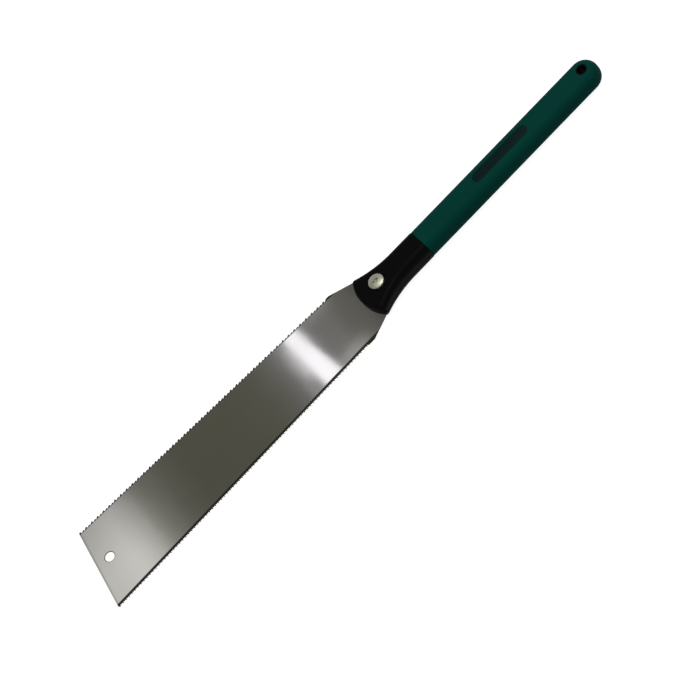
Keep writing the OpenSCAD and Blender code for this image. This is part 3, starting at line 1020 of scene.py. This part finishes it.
def blade_finish(saw):
    """Ground steel with drawn lines and a slow wave; hardening darkens its teeth, painted shade its cut walls
    """
    blade = saw.blade
    finish, tree, shader = start_finish("ground_steel", saw.finish.blade, Metallic=1.0)
    lines = use_group(tree, drawn_lines(), Along=20.0, Across=5000.0)
    marks = use_group(tree, handling_marks(), Scale=25.0, Low=0.06, High=0.085)
    tint = use_group(tree, handling_marks(), Scale=12.0, Low=0.96, High=1.03)
    rip, cross = blade_edges(blade)
    rip_edge = edge_mask(tree, *rip, Vector((0, -1)), RIP_DARK * blade.rip_depth, RIP_SOFT)
    cross_edge = edge_mask(tree, *cross, Vector((0, 1)), CROSS_DARK * blade.cross_depth, CROSS_SOFT)
    # Cut walls and the hole's chamfers take the teeth's dark colour: painted shade of the walls and of the
    # shadow in the hole
    dark = maths(tree, "MAXIMUM", maths(tree, "MAXIMUM", rip_edge, cross_edge), painted_wall_shade(tree))
    toe = edge_mask(tree, rip[1], cross[1], Vector((1, 0)), TOE_LINE, TOE_LINE)
    steel = shaded(tree, saw.finish.blade, tint)
    steel = shaded(tree, steel, mapped(tree, toe, 0.0, 1.0, 1.0, TOE_DARKENING, "LINEAR"))
    teeth = (*saw.finish.teeth, 1.0)
    mixed = add_node(tree, "ShaderNodeMix", {0: dark, 6: steel, 7: teeth}, data_type="RGBA")
    normal = bump(tree, lines, 0.12, LINE_HEIGHT, plate_wave(tree))
    connect(tree, shader, mixed.outputs[2], blend(tree, dark, marks, TEETH_ROUGHNESS), normal)
    return finish


def moulded_finish(name, base, grain, roughness, strength, specular, variation):
    """Moulded plastic or rubber: fine grain, soft wear in its gloss, and slight changes of tone"""
    finish, tree, shader = start_finish(name, base, Specular_IOR_Level=specular)
    pebbles = use_group(tree, moulded_grain(), Scale=grain)
    gloss = use_group(tree, handling_marks(), Scale=55.0, Low=roughness[0], High=roughness[1])
    tone = use_group(tree, handling_marks(), Scale=18.0, Low=1 - variation, High=1 + variation)
    connect(tree, shader, shaded(tree, base, tone), gloss, bump(tree, pebbles, strength, GRAIN_HEIGHT))
    return finish


def plated_finish(name, base, roughness):
    """Plated steel with fine lines and a worn gloss"""
    finish, tree, shader = start_finish(name, base, Metallic=1.0)
    lines = use_group(tree, drawn_lines(), Along=1500.0, Across=4000.0)
    gloss = use_group(tree, handling_marks(), Scale=300.0, Low=roughness[0], High=roughness[1])
    tone = use_group(tree, handling_marks(), Scale=160.0, Low=0.9, High=1.06)
    connect(tree, shader, shaded(tree, base, tone), gloss, bump(tree, lines, 0.15, PLATING_HEIGHT))
    return finish


def nickel_finish(saw):
    """Nickel plate, shared by the clamp's pieces"""
    name = "nickel_plate"
    return bpy.data.materials.get(name) or plated_finish(name, saw.finish.plating, roughness=(0.36, 0.48))


# Stage

# Overhead card from the toe to the handle's end: place along the saw in mm, strength, share of blue
CARD_PATTERN = (
    (-330, 0.70, 1.0), (-268, 0.86, 1.0), (-254, 0.95, 1.0), (-246, 0.95, 1.0), (-234, 0.78, 1.0),
    (-225, 0.60, 0.97), (-217, 0.37, 0.94), (-207, 0.25, 0.93), (-192, 0.17, 0.88), (-170, 0.130, 0.80),
    (-117, 0.134, 0.79), (-87, 0.145, 0.84), (-72, 0.175, 0.9), (-60, 0.235, 1.03), (-55, 0.335, 1.06),
    (-47, 0.95, 1.08), (-41, 1.1, 1.08), (-36, 0.24, 1.03), (-5, 0.25, 1.0), (3, 0.195, 0.93),
    (17, 0.18, 0.95), (45, 0.04, 1.0), (300, 0.04, 1.0),
)
# Where the card's light changes across the blade, in mm: the places along the saw where the change begins,
# is full, starts to go and is gone, the two places across between which it grows, and its factors there
CARD_TONES = (
    ((-340, -330, -215, -190), (-25, 65), (1.06, 0.64)),
    ((-58, -50, -45, -36), (12, 30), (1.0, 0.5)),
    ((-58, -50, -45, -36), (-4, -30), (1.05, 0.4)),
    ((-28, -14, 0, 12), (17, 30), (1.0, 1.7)),
    ((-30, -14, 0, 12), (-19, -32), (1.0, 2.2)),
)
# Toe-side and heel-side edge of the bright strip: place along the saw in mm, and slant across it
STRIP_EDGES = ((-45.3, 0.04), (-32.9, -0.06))
# Place across the saw where those places hold, and how far the strip hangs below the card
STRIP_PIVOT = -30 * MM
STRIP_DROP = 5 * MM
# Floor's light with the shaded share, as a factor of white
FLOOR_WHITE = 1.2
# Soft lamp, in metres
LAMP_SIZE = 0.7
LAMP_PLACE = Vector((0.45, 0.15, 1.05))
# Camera: sensor in mm, and furthest view in metres
SENSOR = 36.0
FURTHEST = 100.0


def mirrored_place(stage, x, y, drop=0.0):
    """The point over the saw that the flat of the blade at x and y mirrors to the camera"""
    height = stage.card_height - drop
    run = height / math.tan(stage.elevation)
    return (x - run * math.sin(stage.azimuth), y + run * math.cos(stage.azimuth), DATUM.z + height)


def stage_sheet(name, corners, finish, seen=False):
    """A flat sheet with four corners on the stage; unless it is seen, only reflections show it"""
    mesh = bpy.data.meshes.new(name)
    mesh.from_pydata(corners, [], [(0, 1, 2, 3)])
    mesh.materials.append(finish)
    sheet = bpy.data.objects.new(name, mesh)
    bpy.context.scene.collection.objects.link(sheet)
    sheet.visible_camera = seen
    sheet.visible_shadow = seen


def bare_tree(owner):
    """The node tree of a new material or world, emptied"""
    owner.use_nodes = True
    owner.node_tree.nodes.clear()
    return owner.node_tree


def glow_finish(name):
    """A material that only glows; returns it, its tree and its emission node"""
    finish = bpy.data.materials.new(name)
    tree = bare_tree(finish)
    glow = add_node(tree, "ShaderNodeEmission")
    add_node(tree, "ShaderNodeOutputMaterial", {"Surface": glow.outputs[0]})
    return finish, tree, glow


def card_ramp(tree, where):
    """The card's pattern as a colour at a place from 0 at its toe end to 1"""
    ramp = add_node(tree, "ShaderNodeValToRGB", {"Fac": where})
    steps = ramp.color_ramp.elements
    low, high = CARD_PATTERN[0][0] * MM, CARD_PATTERN[-1][0] * MM
    while len(steps) < len(CARD_PATTERN):
        steps.new(0.5)
    for step, (x, strength, blue) in zip(steps, CARD_PATTERN):
        step.position = (x * MM - low) / (high - low)
        step.color = (strength, strength, strength * blue, 1.0)
    return ramp.outputs["Color"]


def build_card(stage):
    """A card high over the saw, bright over the toe and dark elsewhere, that the flat of the blade mirrors"""
    half = stage.card_depth / 2
    low, high = CARD_PATTERN[0][0] * MM, CARD_PATTERN[-1][0] * MM
    outline = ((low, -half), (high, -half), (high, half), (low, half))
    corners = [mirrored_place(stage, x, y) for x, y in outline]
    finish, tree, glow = glow_finish("card")
    place = object_place(tree)
    slanted = vector_maths(tree, "DOT_PRODUCT", place, (1.0, -stage.card_slant, 0.0))
    shift = stage.card_slant * (corners[0][1] + corners[2][1]) / 2
    where = mapped(tree, slanted, corners[0][0] - shift, corners[1][0] - shift, curve="LINEAR")
    light = card_ramp(tree, where)
    axes = add_node(tree, "ShaderNodeSeparateXYZ", {0: place})
    over_x, over_y, _ = mirrored_place(stage, 0.0, 0.0)
    for along, across, factors in CARD_TONES:
        begin, full, going, gone = (over_x + x * MM for x in along)
        first, last = (over_y + y * MM for y in across)
        rise = mapped(tree, axes.outputs["X"], begin, full)
        fall = mapped(tree, axes.outputs["X"], going, gone, 1.0, 0.0)
        tone = mapped(tree, axes.outputs["Y"], first, last, *factors)
        light = shaded(tree, light, blend(tree, maths(tree, "MULTIPLY", rise, fall), 1.0, tone))
    tree.links.new(light, glow.inputs["Color"])
    stage_sheet("card", corners, finish)


def build_strip(stage):
    """A bright strip just under the card: the flash of light across the blade near its heel"""
    finish, _, glow = glow_finish("strip")
    glow.inputs["Strength"].default_value = stage.strip
    glow.inputs["Color"].default_value = (*stage.strip_tint, 1.0)
    half = stage.card_depth / 2
    toe_edge, heel_edge = STRIP_EDGES
    corners = []
    for (x, slant), y in ((toe_edge, -half), (heel_edge, -half), (heel_edge, half), (toe_edge, half)):
        corners.append(mirrored_place(stage, x * MM + slant * (y - STRIP_PIVOT), y, STRIP_DROP))
    stage_sheet("strip", corners, finish)


def build_floor(stage):
    """A white floor that keeps a soft shadow; seen from below it is clear"""
    finish = bpy.data.materials.new("floor")
    tree = bare_tree(finish)
    paper = add_node(tree, "ShaderNodeBsdfDiffuse", {"Color": (*[stage.shadow] * 3, 1.0)})
    rays = add_node(tree, "ShaderNodeLightPath").outputs
    seen = maths(tree, "MAXIMUM", rays["Is Camera Ray"], rays["Is Glossy Ray"])
    strength = maths(tree, "MULTIPLY", seen, FLOOR_WHITE - stage.shadow)
    white = add_node(tree, "ShaderNodeEmission", {"Strength": strength})
    both = add_node(tree, "ShaderNodeAddShader", {0: paper.outputs[0], 1: white.outputs[0]})
    clear = add_node(tree, "ShaderNodeBsdfTransparent")
    below = add_node(tree, "ShaderNodeNewGeometry").outputs["Backfacing"]
    surface = add_node(tree, "ShaderNodeMixShader", {0: below, 1: both.outputs[0], 2: clear.outputs[0]})
    add_node(tree, "ShaderNodeOutputMaterial", {"Surface": surface.outputs[0]})
    half = stage.floor_size / 2
    corners = [(-half, -half, 0), (half, -half, 0), (half, half, 0), (-half, half, 0)]
    stage_sheet("floor", corners, finish, seen=True)


def build_world(stage):
    """Even light from all round, white to the camera"""
    world = bpy.data.worlds.new("studio")
    tree = bare_tree(world)
    white = (1.0, 1.0, 1.0, 1.0)
    light, backdrop = (
        add_node(tree, "ShaderNodeBackground", {"Color": white, "Strength": strength}).outputs[0]
        for strength in (stage.ambient, 1.0)
    )
    seen = add_node(tree, "ShaderNodeLightPath").outputs["Is Camera Ray"]
    mixed = add_node(tree, "ShaderNodeMixShader", {0: seen, 1: light, 2: backdrop})
    add_node(tree, "ShaderNodeOutputWorld", {"Surface": mixed.outputs[0]})
    bpy.context.scene.world = world


def build_lamp(stage):
    """One large soft lamp, high, over the handle's end and a little behind"""
    lamp = bpy.data.lights.new("soft_lamp", "AREA")
    lamp.energy = stage.key
    lamp.size = LAMP_SIZE
    made = bpy.data.objects.new("soft_lamp", lamp)
    made.location = LAMP_PLACE
    made.rotation_mode = "QUATERNION"
    made.rotation_quaternion = (-made.location).to_track_quat("-Z", "Y")
    made.visible_camera = False
    bpy.context.scene.collection.objects.link(made)


def build_camera(stage):
    """The camera at the photograph's angle"""
    data = bpy.data.cameras.new("camera")
    data.sensor_width = SENSOR
    data.lens = data.sensor_width * stage.distance / stage.picture
    data.clip_end = FURTHEST
    camera = bpy.data.objects.new("camera", data)
    flat = math.cos(stage.elevation)
    back = Vector((
        math.sin(stage.azimuth) * flat, -math.cos(stage.azimuth) * flat, math.sin(stage.elevation)))
    camera.location = Vector((stage.aim_x, stage.aim_y, stage.aim_z)) + back * stage.distance
    camera.rotation_mode = "QUATERNION"
    camera.rotation_quaternion = (-back).to_track_quat("-Z", "Y") @ Quaternion((0, 0, 1), stage.roll)
    bpy.context.scene.collection.objects.link(camera)
    bpy.context.scene.camera = camera


# Operators


class SAW_OT_blade(bpy.types.Operator):
    """Build the toothed blade"""

    bl_idname = "pull_saw.blade"
    bl_label = "Blade"

    def execute(self, context):
        saw = context.scene.pull_saw
        dress(build_blade(saw), blade_finish(saw), "blade", "saw_blade", smooth=None)
        return {"FINISHED"}


class SAW_OT_shells(bpy.types.Operator):
    """Build the two halves of the head and core"""

    bl_idname = "pull_saw.shells"
    bl_label = "Core shells"

    def execute(self, context):
        saw = context.scene.pull_saw
        finish = moulded_finish(
            "satin_nylon", saw.finish.nylon,
            grain=2600.0, roughness=(0.40, 0.50), strength=0.2, specular=0.038, variation=0.1)
        dress(build_front_shell(saw), finish, "handle", "front_core_shell")
        dress(build_back_shell(saw), finish, "handle", "back_core_shell")
        return {"FINISHED"}


class SAW_OT_grip(bpy.types.Operator):
    """Build the soft grip"""

    bl_idname = "pull_saw.grip"
    bl_label = "Soft grip"

    def execute(self, context):
        saw = context.scene.pull_saw
        finish = moulded_finish(
            "soft_rubber", saw.finish.rubber,
            grain=3200.0, roughness=(0.52, 0.66), strength=0.35, specular=0.022, variation=0.08)
        dress(build_grip(saw), finish, "handle", "grip_sleeve")
        return {"FINISHED"}


class SAW_OT_oval_plate(bpy.types.Operator):
    """Build the blank oval plate in the grip"""

    bl_idname = "pull_saw.oval_plate"
    bl_label = "Oval plate"

    def execute(self, context):
        saw = context.scene.pull_saw
        finish = moulded_finish(
            "satin_plate", saw.finish.plate,
            grain=5200.0, roughness=(0.36, 0.46), strength=0.12, specular=0.06, variation=0.06)
        dress(build_oval_plate(saw), finish, "handle", "grip_inlay")
        return {"FINISHED"}


class SAW_OT_clamp_screw(bpy.types.Operator):
    """Build the clamp screw"""

    bl_idname = "pull_saw.clamp_screw"
    bl_label = "Clamp screw"

    def execute(self, context):
        saw = context.scene.pull_saw
        dress(build_clamp_screw(saw), nickel_finish(saw), "screw", "clamp_screw")
        return {"FINISHED"}


class SAW_OT_clamp_seats(bpy.types.Operator):
    """Build the clamp's washer and nut"""

    bl_idname = "pull_saw.clamp_seats"
    bl_label = "Washer and nut"

    def execute(self, context):
        saw = context.scene.pull_saw
        dress(build_washer(saw), nickel_finish(saw), "washer", "clamp_washer")
        dress(build_nut(saw), nickel_finish(saw), "handle", "clamp_nut")
        return {"FINISHED"}


class SAW_OT_core_screws(bpy.types.Operator):
    """Build the four screws that join the core halves"""

    bl_idname = "pull_saw.core_screws"
    bl_label = "Core screws"

    def execute(self, context):
        saw = context.scene.pull_saw
        finish = plated_finish("zinc_plate", saw.finish.zinc, roughness=(0.34, 0.48))
        for number, node in enumerate(CORE_SCREWS, 1):
            dress(build_core_screw(saw, number, node), finish, "handle", node)
        return {"FINISHED"}


class SAW_OT_stage(bpy.types.Operator):
    """Set the floor, light and camera"""

    bl_idname = "pull_saw.stage"
    bl_label = "Stage"

    def execute(self, context):
        stage = context.scene.pull_saw.stage
        for build in (build_camera, build_floor, build_card, build_strip, build_world, build_lamp):
            build(stage)
        context.scene.view_settings.view_transform = "Standard"
        return {"FINISHED"}


class SAW_PT_panel(bpy.types.Panel):
    """Lists the steps that build the saw"""

    bl_idname = "SAW_PT_panel"
    bl_label = "Pull saw"
    bl_space_type = "VIEW_3D"
    bl_region_type = "UI"
    bl_category = "Pull saw"

    def draw(self, context):
        for step in STEPS:
            self.layout.operator(step.bl_idname)


STEPS = (
    SAW_OT_stage, SAW_OT_blade, SAW_OT_shells, SAW_OT_grip, SAW_OT_oval_plate, SAW_OT_clamp_screw,
    SAW_OT_clamp_seats, SAW_OT_core_screws,
)
GROUPS = (BladeSizes, HeadSizes, GripSizes, ClampSizes, Finishes, StageSettings, SawSettings)


def register():
    """Register the classes and put the settings on the scene"""
    for item in (*GROUPS, *STEPS, SAW_PT_panel):
        bpy.utils.register_class(item)
    bpy.types.Scene.pull_saw = group(SawSettings, "Pull saw", "Sizes, finishes and stage of the saw")


def unregister():
    """Take the settings and the classes away again"""
    del bpy.types.Scene.pull_saw
    for item in (SAW_PT_panel, *STEPS[::-1], *GROUPS[::-1]):
        bpy.utils.unregister_class(item)


def main():
    """Build the saw and its stage"""
    register()
    bpy.ops.pull_saw.stage()
    bpy.ops.pull_saw.blade()
    bpy.ops.pull_saw.shells()
    bpy.ops.pull_saw.grip()
    bpy.ops.pull_saw.oval_plate()
    bpy.ops.pull_saw.clamp_screw()
    bpy.ops.pull_saw.clamp_seats()
    bpy.ops.pull_saw.core_screws()


if __name__ == "__main__":
    main()
